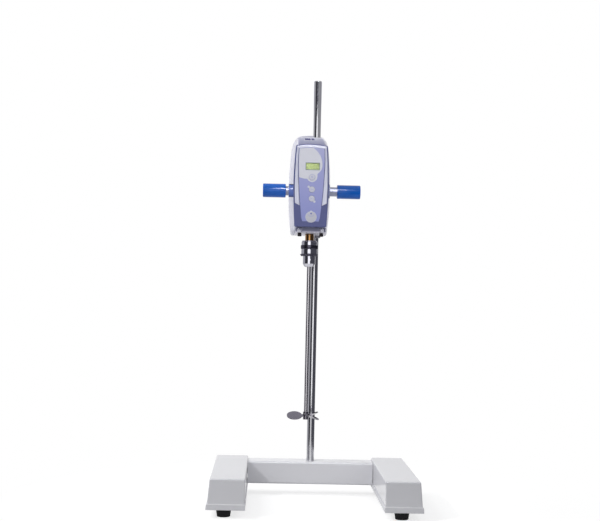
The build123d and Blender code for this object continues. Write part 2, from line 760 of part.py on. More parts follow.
def make_chuck_body():
    profile = [
        (0, CHUCK_BOTTOM),
        (9.4, CHUCK_BOTTOM),
        (NOSE_R - 0.6, 479.0),
        (NOSE_R, 480.2),
        (NOSE_R, SLEEVE_Z0 - 0.4),
        (CORE_R, SLEEVE_Z0 - 0.1),
        (CORE_R, SLEEVE_Z1 + 0.3),
        (16.3, SLEEVE_Z1 + 0.3),
        (16.3, 524.6),
        (15.3, 525.3),
        (15.3, CHUCK_TOP - 0.5),
        (14.8, CHUCK_TOP),
        (0, CHUCK_TOP),
    ]
    body = turned(profile, SPINDLE_X, SPINDLE_Y)
    body -= cyl_z(SPINDLE_X, SPINDLE_Y, SHAFT_R + 0.3, CHUCK_BOTTOM - 1, 515)
    body -= cyl_z(SPINDLE_X, SPINDLE_Y, SPINDLE_R, 515.6, CHUCK_TOP + 1)
    for i in range(3):
        body -= jaw_frame(i) * Pos(0, 0, 17) * Cylinder(JAW_R + RUN, 38)
        hole = Rot(0, 0, 30 + 120 * i) * Pos(NOSE_R - 1.5, 0, 488.5) * Rot(0, 90, 0) * Cylinder(2.6, 7)
        body -= Pos(SPINDLE_X, SPINDLE_Y, 0) * hole
    return one(body)


def make_jaw(index):
    jaw = jaw_frame(index) * Pos(0, 0, 12) * Cylinder(JAW_R, 26.5)
    keep = Pos(SPINDLE_X, SPINDLE_Y, 0) * Rot(0, 0, 90 + 120 * index)
    keep = keep * Pos(SHAFT_R + 0.05 + 20, 0, 490) * Box(40, 30, 33.2)
    return one(jaw & keep)


def make_chuck_sleeve():
    profile = [
        (CORE_R + 0.3, SLEEVE_Z0),
        (16.2, SLEEVE_Z0),
        (18.25, 498.2),
        (18.25, 499.6),
        (16.7, 500.4),
        (16.7, 510.2),
        (17.35, 510.8),
        (17.35, 517.5),
        (16.7, SLEEVE_Z1),
        (CORE_R + 0.3, SLEEVE_Z1),
    ]
    sleeve = turned(profile, SPINDLE_X, SPINDLE_Y)
    for i in range(24):
        tooth = Rot(0, 0, 15 * i) * Pos(18.4, 0, 496.4) * Rot(0, -38, 0) * Box(6, 1.9, 2.8)
        sleeve -= Pos(SPINDLE_X, SPINDLE_Y, 0) * tooth
    return one(sleeve)


def make_shaft():
    profile = [
        (0, SHAFT_Z0),
        (SHAFT_R - 0.4, SHAFT_Z0),
        (SHAFT_R, SHAFT_Z0 + 0.4),
        (SHAFT_R, SHAFT_Z1 - 1),
        (SHAFT_R - 1, SHAFT_Z1),
        (0, SHAFT_Z1),
    ]
    return turned(profile, SPINDLE_X, SPINDLE_Y)


def make_blade(angle):
    disc = Pos(BLADE_CENTRE, 0, 0) * Cylinder(BLADE_R, BLADE_T)
    neck = Pos(7.5, 0, 0) * Box(9, 8, BLADE_T)
    return Pos(SPINDLE_X, SPINDLE_Y, BLADE_Z) * Rot(0, 0, angle) * Rot(BLADE_PITCH, 0, 0) * (disc + neck)


def make_propeller():
    prop = cyl_z(SPINDLE_X, SPINDLE_Y, 5.6, SHAFT_Z0, 178.5)
    for angle in (180, -60, 60):
        prop += make_blade(angle)
    return one(prop - cyl_z(SPINDLE_X, SPINDLE_Y, SHAFT_R, SHAFT_Z0 - 8, 186))


# ---------------------------------------------------------------- mains parts on the back


def make_mains_inlet():
    x0, x1, z0, z1 = -48.0, -21.0, 558.0, 578.0
    inlet = box(x0, x1, 138, REAR_Y, z0, z1)
    inlet += box(x0 - 2, x1 + 2, REAR_Y, REAR_Y + 2, z0 - 2, z1 + 2)
    inlet -= box(x0 + 1.8, x1 - 1.8, 146, REAR_Y + 3, z0 + 1.8, z1 - 1.8)
    mid = (x0 + x1) / 2
    for x, z in ((mid - 7, 565.5), (mid + 7, 565.5), (mid, 570.5)):
        inlet += box(x - 1, x + 1, 145.5, 157, z - 2, z + 2)
    return one(inlet)


def make_switch_frame():
    frame = box(5, 18, 149, REAR_Y, 558, 578)
    frame += box(3, 20, REAR_Y, REAR_Y + 1.5, 556, 580)
    frame -= box(6.5, 16.5, 151, REAR_Y + 2, 560, 576)
    return one(frame)


def make_rocker():
    points = [(5.6, -6.6), (4.2, 0.0), (5.6, 6.6), (-1.0, 5.0), (-3.2, 0.0), (-1.0, -5.0)]
    rocker = prism_x(points, -4.7, 4.7) + cyl_x(0, 0, 1.2, -4.95, 4.95)
    return one(Pos(11.5, 156.0, 568.0) * Rot(-8, 0, 0) * rocker)


def build_all():
    leg = make_leg()
    save("left_leg", leg)
    save("right_leg", mirror(leg, Plane.YZ))
    save("left_leg_tray", make_tray(LEFT_FOOT_X))
    save("right_leg_tray", mirror(make_tray(-RIGHT_FOOT_X), Plane.YZ))
    for name, x, y in (
        ("foot_front_left", LEFT_FOOT_X, -FOOT_Y),
        ("foot_front_right", RIGHT_FOOT_X, -FOOT_Y),
        ("foot_rear_left", LEFT_FOOT_X, FOOT_Y),
        ("foot_rear_right", RIGHT_FOOT_X, FOOT_Y),
    ):
        save(name, make_foot(x, y))
    save("foot_screws", make_foot_screws())
    save("crossbar", make_crossbar())
    save("crossbar_bolts", make_crossbar_bolts())
    save("rod_socket", make_rod_socket())
    save("support_rod", make_rod())
    save("rod_bolt", make_rod_bolt())
    save("lower_bush", make_bush(FLANGE_Z1, FLANGE_Z1 + BUSH_LEN - 0.1))
    save("upper_bush", make_bush(BLOCK_Z1 - BUSH_LEN + 0.1, BLOCK_Z1))
    save("clamp_block", make_clamp_block())
    save("flange_plate", make_flange_plate())
    save("flange_screws", make_flange_screws())
    save("gear_plate", make_gear_plate())
    save("gear_plate_pillars", make_pillars())
    save("front_housing", make_front_housing())
    save("rear_cover", make_rear_cover())
    save("rear_cover_screws", make_cover_screws())
    save("front_cover", make_front_cover())
    save("silver_trim", make_silver_trim())
    save("keypad_panel", make_keypad_panel())
    save("lcd_window", make_lcd_window())
    save("lcd_module", make_lcd_module())
    save("circuit_board", make_circuit_board())
    for name, (u, z, r) in KEYS.items():
        save(name, make_key(u, z, r))
    for name, side in (("left", -1), ("right", 1)):
        save(f"{name}_collar", make_collar(side))
        save(f"{name}_pad", make_pad(side))
        save(f"{name}_knob_stud", make_stud(side))
        save(f"{name}_knob_grip", make_grip(side))
    save("motor_case", make_motor_case())
    save("motor_rotor", make_motor_rotor())
    save("pinion", make_pinion())
    save("drive_gear", make_drive_gear())
    save("lower_bearing", make_bearing(543.5))
    save("upper_bearing", make_bearing(PLATE_Z0))
    save("spindle", make_spindle())
    save("spindle_sleeve", make_spindle_sleeve())
    save("chuck_body", make_chuck_body())
    save("chuck_sleeve", make_chuck_sleeve())
    for i in range(3):
        save(f"jaw_{i + 1}", make_jaw(i))
    save("stirring_shaft", make_shaft())
    save("propeller", make_propeller())
    save("mains_inlet", make_mains_inlet())
    save("switch_frame", make_switch_frame())
    save("power_rocker", make_rocker())


build_all()
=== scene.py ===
import json
import math

import bmesh
import bpy
from mathutils import Matrix, Vector
from mathutils.geometry import tessellate_polygon


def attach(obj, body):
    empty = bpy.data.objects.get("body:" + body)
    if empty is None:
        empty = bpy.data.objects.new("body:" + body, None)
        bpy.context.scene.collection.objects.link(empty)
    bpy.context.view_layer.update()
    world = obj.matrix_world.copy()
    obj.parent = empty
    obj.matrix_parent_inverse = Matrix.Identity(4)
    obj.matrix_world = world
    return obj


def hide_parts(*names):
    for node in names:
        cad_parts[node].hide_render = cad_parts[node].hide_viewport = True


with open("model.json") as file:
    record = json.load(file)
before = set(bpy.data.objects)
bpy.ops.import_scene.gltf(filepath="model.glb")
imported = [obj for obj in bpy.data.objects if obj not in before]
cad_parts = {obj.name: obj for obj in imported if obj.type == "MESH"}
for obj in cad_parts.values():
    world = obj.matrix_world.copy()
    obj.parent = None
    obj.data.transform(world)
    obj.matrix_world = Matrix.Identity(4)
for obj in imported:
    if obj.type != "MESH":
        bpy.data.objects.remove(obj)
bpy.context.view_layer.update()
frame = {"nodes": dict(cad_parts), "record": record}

# Sizes are in millimetres, in the frame of the CAD part: +Z up, front is -Y.
MM = 0.001

# Head: centre line of the spindle, centre line of the panel (u is measured from it),
# front face, face of the printed film and thickness of a print
HX = -14.0
CX = -15.5
FACE_Y = -28.0
PANEL_Y = -28.1
PRINT_THICK = 0.05

# Sloping top of the head: y and height of its front edge, and its rise per mm of y. Vent slots in
# it: (x, width) of each, their range in y, how far they sink in and how far they stand proud
TOP_Y = -8.0
TOP_Z = 715.0
TOP_SLOPE = 0.25
SLOTS = ((-26.0, 3.4), (-22.1, 3.4), (-18.2, 3.4), (-12.4, 3.2), (-8.8, 2.2))
SLOT_Y = (85.0, 113.0)
SLOT_SINK = 0.6
SLOT_RISE = 0.06

# Support rod and stirring shaft
ROD_Y = 132.0
ROD_R = 8.0
ROD_Z = (34.0, 870.0)
SPINDLE_Y = 52.0
SHAFT_R = 4.0
SHAFT_Z = (163.0, 512.0)

# Underside plate: height of its lower face, x of its front screws and bosses, and each cap screw
# as (x, y, head radius, head length)
FLANGE_Z = 541.0
BOSS_X = (HX - 21.75, HX + 21.75)
CAP_SCREWS = (
    (BOSS_X[0], 5.0, 3.9, 7.2),
    (BOSS_X[1], 5.0, 3.9, 7.2),
    (-13.0, 115.5, 4.2, 5.0),
    (6.5, 115.5, 4.2, 5.0),
)

# Clamp knobs: inner and outer end of each grip
KNOB_Z = 635.5
GRIPS = {"left": (-63.6, -112.0), "right": (44.7, 94.1)}

# Feet
FOOT_X = {"left": -170.3, "right": 164.2}
FOOT_Y = {"front": -138, "rear": 138}

# Panel: (u, z) of each key's middle, and the display frame's lower left and upper right
KEYS = {
    "mode_key": (1.4, 650.4),
    "up_key": (1.7, 625.8),
    "down_key": (1.7, 607.5),
    "start_key": (0.9, 571.2),
}
DISPLAY_FRAME = ((-11.9, 664.3), (16.5, 679.1))

# Half outline of the front cover and of the film, as (half width, z)
COVER_SIDE = [(31.7, 551.5), (33.5, 585.0), (35.0, 635.0), (33.6, 684.0), (31.5, 713.0)]
PANEL_SIDE = [(18.3, 569.0), (22.2, 608.0), (24.9, 650.0), (25.8, 680.0), (25.0, 707.0)]

# Studio: lift of the seen floor near the stand, fill light of the world, and the distances in
# metres from the middle between which the seen floor goes over to plain white
FLOOR_LIFT = 0.7
WORLD_FILL = 0.32
FLOOR_FADE = (0.26, 0.62)

# Floor, in metres: half its side, and its height just under the feet. Cards curve round this y.
FLOOR_HALF = 12.0
FLOOR_Z = -0.0004
CARD_CENTRE_Y = 0.08

# Camera: place in metres, angles in radians, focal length in pixels of a 600 pixel wide view
CAMERA_AT = (-0.09564, -2.35877, 0.42395)
CAMERA_YAW = 0.026223
CAMERA_PITCH = 0.025949
CAMERA_ROLL = 0.021604
CAMERA_FOCAL = 1179.3
VIEW_WIDTH = 600.0
SENSOR_WIDTH = 36.0

# Materials
BUMP_STRENGTH = 0.35
COAT_ROUGHNESS = 0.06

# ------------------------------------------------------------------ node helpers


def new_material(name):
    """Empty material with a principled shader on its output."""
    mat = bpy.data.materials.new(name)
    mat.use_nodes = True
    nodes = mat.node_tree.nodes
    nodes.clear()
    out = nodes.new("ShaderNodeOutputMaterial")
    bsdf = nodes.new("ShaderNodeBsdfPrincipled")
    mat.node_tree.links.new(bsdf.outputs["BSDF"], out.inputs["Surface"])
    return mat, bsdf


def add(mat, kind, **values):
    """New node; each value goes to the input of that name, or else to the node's own setting."""
    node = mat.node_tree.nodes.new(kind)
    for key, value in values.items():
        if key in node.inputs:
            node.inputs[key].default_value = value
        else:
            setattr(node, key, value)
    return node


def link(mat, a, b):
    """Join an output to an input."""
    mat.node_tree.links.new(a, b)


def object_coords(mat, scale=(1, 1, 1)):
    """Object coordinates in metres, stretched by the scale."""
    coord = add(mat, "ShaderNodeTexCoord")
    mapping = add(mat, "ShaderNodeMapping")
    mapping.inputs["Scale"].default_value = scale
    link(mat, coord.outputs["Object"], mapping.inputs["Vector"])
    return mapping.outputs["Vector"]


def noise(mat, vector, scale, detail=3.0, roughness=0.5):
    """Noise between 0 and 1."""
    node = add(mat, "ShaderNodeTexNoise", Scale=scale, Detail=detail, Roughness=roughness)
    link(mat, vector, node.inputs["Vector"])
    return node.outputs["Fac"]


def ramp(mat, fac, stops):
    """Colour from a list of (position, linear colour) stops."""
    node = add(mat, "ShaderNodeValToRGB")
    elements = node.color_ramp.elements
    while len(elements) < len(stops):
        elements.new(0.5)
    for element, (pos, col) in zip(elements, stops):
        element.position = pos
        element.color = (*col, 1.0)
    link(mat, fac, node.inputs["Fac"])
    return node.outputs["Color"]


def grey_ramp(mat, fac, low, high):
    """Grey that runs from low to high over the middle of a noise."""
    return ramp(mat, fac, [(0.3, (low,) * 3), (0.7, (high,) * 3)])


def bump(mat, bsdf, height, distance):
    """Relief of the given depth in metres."""
    node = add(mat, "ShaderNodeBump", Strength=BUMP_STRENGTH, Distance=distance)
    link(mat, height, node.inputs["Height"])
    link(mat, node.outputs["Normal"], bsdf.inputs["Normal"])


def shade(color, factor):
    """The colour made lighter or darker."""
    return tuple(c * factor for c in color)


def surface(name, color, rough, metal=0.0, coat=0.0, spread=0.05, rough_spread=0.05,
            patch=30.0, grain=900.0, grain_depth=0.00002, stretch=(1, 1, 1), specular=0.5):
    """A painted, moulded or machined finish: uneven colour, uneven gloss and fine grain."""
    mat, bsdf = new_material(name)
    base = srgb(*color)
    fac = noise(mat, object_coords(mat), patch, 4.0, 0.6)
    tint = ramp(mat, fac, [(0.3, shade(base, 1 - spread)), (0.7, shade(base, 1 + spread))])
    link(mat, tint, bsdf.inputs["Base Color"])
    fine = noise(mat, object_coords(mat, stretch), grain, 5.0, 0.6)
    low, high = max(rough - rough_spread, 0.02), rough + rough_spread
    link(mat, grey_ramp(mat, fine, low, high), bsdf.inputs["Roughness"])
    bsdf.inputs["Metallic"].default_value = metal
    bsdf.inputs["Specular IOR Level"].default_value = specular
    bsdf.inputs["Coat Weight"].default_value = coat
    bsdf.inputs["Coat Roughness"].default_value = COAT_ROUGHNESS
    bump(mat, bsdf, fine, grain_depth)
    return mat


def srgb(r, g, b):
    """Linear colour from sRGB bytes."""
    def lin(v):
        v /= 255.0
        return v / 12.92 if v <= 0.04045 else ((v + 0.055) / 1.055) ** 2.4

    return (lin(r), lin(g), lin(b))


# Finishes by name: colour as sRGB bytes, roughness, then what surface() takes. Patch and grain are
# noise scales per metre, grain_depth is in metres.
FINISHES = {
    # Paint and rubber of the stand
    "base_paint": dict(color=(218, 218, 223), rough=0.32, coat=0.4, spread=0.012, patch=14,
                       grain=1400, grain_depth=0.00003),
    "tray_paint": dict(color=(222, 222, 227), rough=0.42, coat=0.1, spread=0.015, patch=18,
                       grain=1400, grain_depth=0.00003),
    # Crossbar: the stand's paint made lighter, as painted light on the crossbar.
    "bar_painted_light": dict(color=(238, 238, 243), rough=0.32, coat=0.4, spread=0.008, patch=14,
                      grain=1400, grain_depth=0.00003),
    # Paler paint of the lip strips: a painted highlight.
    "bead_painted_highlight": dict(color=(250, 250, 252), rough=0.3, coat=0.4, spread=0.01, patch=14,
                       grain=1400, grain_depth=0.00003),
    "foot_rubber": dict(color=(15, 14, 18), rough=0.75, specular=0.25, spread=0.2, patch=120,
                        grain=1800, grain_depth=0.00006),
    # Metals
    "zinc_steel": dict(color=(176, 176, 180), rough=0.35, metal=1.0, patch=200, grain=2500),
    "rod_steel": dict(color=(196, 196, 200), rough=0.09, metal=1.0, spread=0.03, rough_spread=0.03,
                      patch=9, grain=900, stretch=(1, 1, 0.05), grain_depth=0.000004),
    "shaft_steel": dict(color=(186, 184, 188), rough=0.22, metal=1.0, spread=0.05,
                        rough_spread=0.03, patch=25, grain=700, stretch=(1, 1, 0.02),
                        grain_depth=0.000001),
    "stud_steel": dict(color=(146, 149, 166), rough=0.46, metal=1.0, spread=0.04, patch=60,
                       grain=1400, stretch=(0.1, 1, 1), grain_depth=0.00001),
    "blade_steel": dict(color=(124, 121, 130), rough=0.24, metal=1.0, spread=0.08, patch=40,
                        grain=1500, grain_depth=0.00001),
    "black_steel": dict(color=(52, 46, 50), rough=0.28, metal=0.8, spread=0.15, patch=200,
                        grain=2500),
    "gear_steel": dict(color=(150, 150, 154), rough=0.35, metal=1.0, patch=120),
    "bearing_steel": dict(color=(190, 190, 194), rough=0.15, metal=1.0, patch=120),
    "chuck_chrome": dict(color=(190, 190, 198), rough=0.08, metal=1.0, spread=0.03,
                         rough_spread=0.03, patch=60, grain=900, stretch=(1, 1, 6),
                         grain_depth=0.000004),
    "knurl_dark": dict(color=(84, 82, 94), rough=0.3, metal=1.0, spread=0.1, patch=200, grain=1800),
    "spindle_brass": dict(color=(156, 118, 76), rough=0.12, metal=1.0, spread=0.06, patch=80,
                          grain=900, stretch=(1, 1, 4), grain_depth=0.000006),
    "bush_bronze": dict(color=(190, 140, 80), rough=0.4, metal=1.0, patch=150),
    "cast_alu": dict(color=(190, 190, 196), rough=0.45, metal=1.0, patch=90, grain=700,
                     grain_depth=0.00008),
    "boss_alu": dict(color=(214, 214, 226), rough=0.4, metal=0.15, patch=120, grain=1800),
    "motor_can": dict(color=(60, 60, 64), rough=0.4, metal=0.6, patch=80),
    # Plastics
    "white_plastic": dict(color=(236, 236, 244), rough=0.16, coat=0.3, spread=0.01,
                          rough_spread=0.03, patch=20, grain=1600, grain_depth=0.000006),
    "slate_plastic": dict(color=(78, 85, 142), rough=0.33, coat=0.1, specular=0.35, spread=0.03,
                          patch=40, grain=1500, grain_depth=0.00001),
    "silver_plastic": dict(color=(226, 228, 248), rough=0.3, metal=0.05, coat=0.3, spread=0.03,
                           patch=60, grain=2600, grain_depth=0.000006),
    "key_plastic": dict(color=(219, 220, 233), rough=0.4, spread=0.015, patch=60, grain=2600,
                        grain_depth=0.00001),
    # Start key: the key plastic made darker, as painted shade towards the bottom of the panel.
    "key_plastic_shaded": dict(color=(204, 205, 217), rough=0.4, spread=0.015, patch=60, grain=2600,
                          grain_depth=0.00001),
    "blue_plastic": dict(color=(16, 94, 190), rough=0.19, specular=0.3, spread=0.03,
                         rough_spread=0.03, patch=60, grain=1800, grain_depth=0.000008),
    # Left collar: blue paled towards white, partly its own blue and partly a painted sheen.
    "collar_plastic": dict(color=(84, 108, 180), rough=0.3, coat=0.2, spread=0.03, patch=60,
                           grain=1800, grain_depth=0.00001),
    # Right collar: a paler copy of the collar plastic, a painted highlight on it.
    "collar_painted_highlight": dict(color=(140, 146, 178), rough=0.3, coat=0.2, spread=0.03, patch=60,
                        grain=1800, grain_depth=0.00001),
    "black_plastic": dict(color=(36, 36, 39), rough=0.5, spread=0.1, patch=100, grain=1500,
                          grain_depth=0.00004),
    "pad_nylon": dict(color=(214, 210, 200), rough=0.5, patch=100),
    # Vent slots: dark colour that is painted shade inside the openings.
    "slot_dark": dict(color=(46, 42, 112), rough=0.6, spread=0.1, patch=200, grain=1500),
    # Prints, display and board
    "print_grey": dict(color=(230, 231, 243), rough=0.4, spread=0.015, patch=40, grain=2600,
                       grain_depth=0.00001),
    "print_lilac": dict(color=(172, 176, 222), rough=0.42, spread=0.03, patch=80, grain=2600,
                        grain_depth=0.00001),
    "print_blue": dict(color=(108, 116, 190), rough=0.42, spread=0.03, patch=80, grain=2600,
                       grain_depth=0.00001),
    "print_frame": dict(color=(128, 146, 150), rough=0.4, spread=0.03, patch=80, grain=2600,
                        grain_depth=0.00001),
    "lcd_body": dict(color=(190, 204, 138), rough=0.35, spread=0.03, patch=70, grain=2600,
                     grain_depth=0.00001),
    "lcd_digit": dict(color=(160, 172, 118), rough=0.4, spread=0.03, patch=90, grain=2600,
                      grain_depth=0.00001),
    "board": dict(color=(30, 100, 52), rough=0.4, coat=0.3, spread=0.2, patch=300),
}


def material_table():
    """Every finish by its name; four of them have a material of their own."""
    table = {name: surface(f"m_{name}", **finish) for name, finish in FINISHES.items()}
    table["flange_alu"] = flange_painted_light_material()
    table["membrane"] = film_painted_light_material()
    table["housing_plastic"] = housing_shaded_top_material()
    table["lcd_glass"] = glass_material()
    return table


def run_fraction(mat, vector, low, high, axis="Z"):
    """0 to 1 as one coordinate of the vector runs from low to high, in metres."""
    split = add(mat, "ShaderNodeSeparateXYZ")
    link(mat, vector, split.inputs["Vector"])
    fraction = add(mat, "ShaderNodeMapRange")
    fraction.inputs["From Min"].default_value = low
    fraction.inputs["From Max"].default_value = high
    link(mat, split.outputs[axis], fraction.inputs["Value"])
    return fraction.outputs["Result"]


def film_painted_light_material():
    """Printed film: its tint pales towards the top as painted light, under a satin face."""
    mat, bsdf = new_material("m_membrane")
    # Painted light: the printed tint runs from darker at the bottom to paler at the top.
    height = run_fraction(mat, object_coords(mat), 0.562, 0.712)
    tint = ramp(mat, height, [(0.0, srgb(142, 150, 216)), (0.45, srgb(160, 165, 226)),
                              (0.75, srgb(166, 170, 226)), (1.0, srgb(184, 187, 232))])
    fine = noise(mat, object_coords(mat), 2600.0, 5.0, 0.6)
    mix = add(mat, "ShaderNodeMixRGB", blend_type="MULTIPLY")
    mix.inputs["Fac"].default_value = 1.0
    link(mat, tint, mix.inputs["Color1"])
    link(mat, grey_ramp(mat, fine, 0.97, 1.0), mix.inputs["Color2"])
    link(mat, mix.outputs["Color"], bsdf.inputs["Base Color"])
    link(mat, grey_ramp(mat, fine, 0.34, 0.44), bsdf.inputs["Roughness"])
    bump(mat, bsdf, fine, 0.00001)
    return mat


def flange_painted_light_material():
    """Machined plate: painted highlights on the lower band and the top edge, painted shade over the
    middle under the cover's lip.
    """
    mat, bsdf = new_material("m_flange_alu")
    # Bands from bottom to top: painted highlight, painted shade, painted highlight at the top edge.
    height = run_fraction(mat, object_coords(mat), 0.541, 0.553)
    tint = ramp(mat, height, [(0.0, srgb(220, 218, 232)), (0.14, srgb(192, 190, 208)),
                              (0.25, srgb(142, 142, 162)), (0.38, srgb(112, 113, 136)),
                              (0.8, srgb(104, 106, 130)), (0.95, srgb(180, 182, 206))])
    link(mat, tint, bsdf.inputs["Base Color"])
    fine = noise(mat, object_coords(mat, (0.06, 1, 1)), 900.0, 5.0, 0.6)
    link(mat, grey_ramp(mat, fine, 0.32, 0.46), bsdf.inputs["Roughness"])
    bsdf.inputs["Metallic"].default_value = 0.3
    bump(mat, bsdf, fine, 0.00001)
    return mat


def housing_shaded_top_material():
    """White moulding whose upward faces get a greyer lavender, darkest at the front, as painted
    shade, and a duller gloss.
    """
    mat, bsdf = new_material("m_housing_plastic")
    geometry = add(mat, "ShaderNodeNewGeometry")
    split = add(mat, "ShaderNodeSeparateXYZ")
    link(mat, geometry.outputs["Normal"], split.inputs["Vector"])
    fac = noise(mat, object_coords(mat), 20.0, 4.0, 0.6)
    fine = noise(mat, object_coords(mat), 1600.0, 5.0, 0.6)
    side = ramp(mat, fac, [(0.3, srgb(238, 238, 246)), (0.7, srgb(242, 242, 250))])
    # Painted shade on the upward faces: greyer lavender, darkest at the front edge of the top.
    along = run_fraction(mat, object_coords(mat), -0.008, 0.122, "Y")
    top = ramp(mat, along, [(0.0, srgb(130, 132, 165)), (0.4, srgb(158, 160, 188)),
                            (1.0, srgb(208, 209, 226))])
    mix = add(mat, "ShaderNodeMixRGB")
    up = ramp(mat, split.outputs["Z"], [(0.35, (0.0,) * 3), (0.9, (1.0,) * 3)])
    link(mat, up, mix.inputs["Fac"])
    link(mat, side, mix.inputs["Color1"])
    link(mat, top, mix.inputs["Color2"])
    link(mat, mix.outputs["Color"], bsdf.inputs["Base Color"])
    gloss = add(mat, "ShaderNodeMixRGB")
    link(mat, up, gloss.inputs["Fac"])
    link(mat, grey_ramp(mat, fine, 0.13, 0.19), gloss.inputs["Color1"])
    link(mat, grey_ramp(mat, fine, 0.36, 0.46), gloss.inputs["Color2"])
    link(mat, gloss.outputs["Color"], bsdf.inputs["Roughness"])
    link(mat, ramp(mat, up, [(0.0, (0.3,) * 3), (1.0, (0.0,) * 3)]), bsdf.inputs["Coat Weight"])
    bsdf.inputs["Coat Roughness"].default_value = COAT_ROUGHNESS
    bump(mat, bsdf, fine, 0.000006)
    return mat


def glass_material():
    """Clear display window with the faintest uneven green."""
    mat, bsdf = new_material("m_lcd_glass")
    fac = noise(mat, object_coords(mat), 60.0)
    tint = ramp(mat, fac, [(0.3, (0.94, 0.97, 0.93)), (0.7, (0.98, 1.0, 0.97))])
    link(mat, tint, bsdf.inputs["Base Color"])
    bsdf.inputs["Roughness"].default_value = 0.06
    bsdf.inputs["Transmission Weight"].default_value = 1.0
    bsdf.inputs["IOR"].default_value = 1.1
    return mat


# ------------------------------------------------------------------ mesh helpers


def make_object(name, bm, body, mat, smooth_deg=35.0):
    """Turn the mesh into a named piece that rides on a body, smooth except at sharp edges."""
    for face in bm.faces:
        face.smooth = True
    mesh = bpy.data.meshes.new(name)
    bm.to_mesh(mesh)
    bm.free()
    mesh.set_sharp_from_angle(angle=math.radians(smooth_deg))
    obj = bpy.data.objects.new(name, mesh)
    bpy.context.scene.collection.objects.link(obj)
    obj.data.materials.append(mat)
    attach(obj, body)
    return obj


def lathe_bm(profile, segments, radius_at=None):
    """Turned solid about Z from a closed (r, z) profile, which may start and end on the axis."""
    bm = bmesh.new()
    rings = []
    for r, z in profile:
        if r < 1e-6:
            rings.append([bm.verts.new((0, 0, z * MM))])
            continue
        ring = []
        for k in range(segments):
            a = 2 * math.pi * k / segments
            rr = radius_at(r, z, k) if radius_at else r
            ring.append(bm.verts.new((rr * math.cos(a) * MM, rr * math.sin(a) * MM, z * MM)))
        rings.append(ring)
    pairs = list(zip(rings, rings[1:]))
    if len(rings[0]) > 1:
        pairs.append((rings[-1], rings[0]))
    for a, b in pairs:
        for k in range(segments):
            n = (k + 1) % segments
            if len(a) == 1 and len(b) == 1:
                continue
            if len(a) == 1:
                bm.faces.new((a[0], b[n], b[k]))
            elif len(b) == 1:
                bm.faces.new((a[k], a[n], b[0]))
            else:
                bm.faces.new((a[k], a[n], b[n], b[k]))
    bmesh.ops.recalc_face_normals(bm, faces=bm.faces)
    return bm


def lathe_z(name, profile, x, y, body, mat, segments=96, radius_at=None, smooth_deg=35.0):
    """Turned piece about a Z axis at x, y; radius_at may change the radius of each point."""
    bm = lathe_bm(profile, segments, radius_at)
    bmesh.ops.translate(bm, verts=bm.verts, vec=(x * MM, y * MM, 0))
    return make_object(name, bm, body, mat, smooth_deg)


def lathe_x(name, profile, y, z, body, mat, segments=96):
    """The same, about an X axis: the profile's second number is x."""
    bm = lathe_bm(profile, segments)
    turn = Matrix(((0, 0, 1), (1, 0, 0), (0, 1, 0)))
    bmesh.ops.transform(bm, verts=bm.verts, matrix=turn.to_4x4())
    bmesh.ops.translate(bm, verts=bm.verts, vec=(0, y * MM, z * MM))
    bmesh.ops.recalc_face_normals(bm, faces=bm.faces)
    return make_object(name, bm, body, mat)


def catmull(points, t):
    """Point on a smooth curve through the points, t from 0 to 1."""
    n = len(points) - 1
    s = min(max(t, 0.0), 1.0) * n
    i = min(int(s), n - 1)
    f = s - i
    p1, p2 = points[i], points[i + 1]
    p0 = points[i - 1] if i > 0 else tuple(2 * a - b for a, b in zip(p1, p2))
    p3 = points[i + 2] if i + 2 <= n else tuple(2 * b - a for a, b in zip(p1, p2))
    return tuple(
        0.5 * (2 * b + (c - a) * f + (2 * a - 5 * b + 4 * c - d) * f * f
               + (3 * b - a - 3 * c + d) * f**3)
        for a, b, c, d in zip(p0, p1, p2, p3)
    )


def plate(name, outline, y_back, y_front, body, mat, holes=()):
    """Flat piece on the panel: (u, z) outline with optional holes, thin in Y."""
    bm = bmesh.new()
    loops = [outline] + [list(h) for h in holes]
    back, front = [], []
    for points in loops:
        back.append([bm.verts.new(((CX + u) * MM, y_back * MM, z * MM)) for u, z in points])
        front.append([bm.verts.new(((CX + u) * MM, y_front * MM, z * MM)) for u, z in points])
        for k in range(len(points)):
            n = (k + 1) % len(points)
            bm.faces.new((back[-1][k], back[-1][n], front[-1][n], front[-1][k]))
    flat = [[Vector((u, z, 0.0)) for u, z in points] for points in loops]
    for verts in (back, front):
        order = [v for ring in verts for v in ring]
        for tri in tessellate_polygon(flat):
            bm.faces.new([order[i] for i in tri])
    bmesh.ops.recalc_face_normals(bm, faces=bm.faces)
    return make_object(name, bm, body, mat)


def ring_plate(name, u, z, r_in, r_out, y_back, y_front, body, mat, start=0.0, end=360.0):
    """Flat printed ring or arc."""
    bm = bmesh.new()
    steps = 48
    full = end - start >= 359.9
    rows = []
    for k in range(steps + (0 if full else 1)):
        a = math.radians(start + (end - start) * k / steps)
        row = []
        for r, y in ((r_in, y_back), (r_in, y_front), (r_out, y_front), (r_out, y_back)):
            x = CX + u + r * math.cos(a)
            row.append(bm.verts.new((x * MM, y * MM, (z + r * math.sin(a)) * MM)))
        rows.append(row)
    count = steps if full else len(rows) - 1
    for k in range(count):
        a, b = rows[k], rows[(k + 1) % len(rows)]
        for j in range(4):
            n = (j + 1) % 4
            bm.faces.new((a[j], a[n], b[n], b[j]))
    if not full:
        bm.faces.new(rows[0])
        bm.faces.new(list(reversed(rows[-1])))
    bmesh.ops.recalc_face_normals(bm, faces=bm.faces)
    return make_object(name, bm, body, mat)


def circle(u, z, r, steps=48, start=0.0, end=360.0):
    """Points of a circle, or of an arc with both its ends."""
    n = steps if end - start >= 359.9 else steps + 1
    return [
        (u + r * math.cos(math.radians(start + (end - start) * k / steps)),
         z + r * math.sin(math.radians(start + (end - start) * k / steps)))
        for k in range(n)
    ]


# ------------------------------------------------------------------ finish for the CAD nodes

